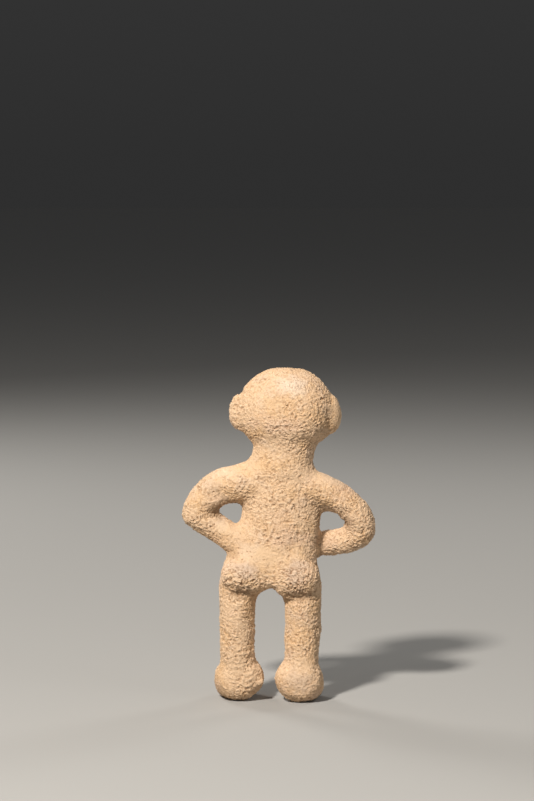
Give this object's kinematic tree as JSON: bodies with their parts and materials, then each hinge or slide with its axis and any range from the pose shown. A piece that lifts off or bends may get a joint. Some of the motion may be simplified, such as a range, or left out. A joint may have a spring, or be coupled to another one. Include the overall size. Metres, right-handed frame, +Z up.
{
  "type": "standing clay figure",
  "caption": "Small hand-modelled standing figure in coarse unglazed fired clay, arms bent with the hands on the belly.",
  "frame": {"origin": "on the ground, under the middle of the figure's bounding box", "axes": "+Z up, from soles to crown; the face looks along -Y; +X is the figure's own left"},
  "size_m": [0.1032, 0.0444, 0.18],
  "materials": {
    "fired_clay": "unglazed, coarse and matte"
  },
  "bodies": {
    "root": {"torso": "fired_clay", "hips": "fired_clay", "neck": "fired_clay", "head": "fired_clay", "leg_left": "fired_clay", "leg_right": "fired_clay", "foot_left": "fired_clay", "foot_right": "fired_clay", "buttock_left": "fired_clay", "buttock_right": "fired_clay", "belly": "fired_clay", "arm_left": "fired_clay", "arm_right": "fired_clay", "hand_left": "fired_clay", "hand_right": "fired_clay", "ear_left": "fired_clay", "ear_right": "fired_clay", "breast_left": "fired_clay", "breast_right": "fired_clay", "navel": "fired_clay", "nose": "fired_clay", "eye_left": "fired_clay", "eye_right": "fired_clay", "mouth": "fired_clay"}
  },
  "joints": []
}
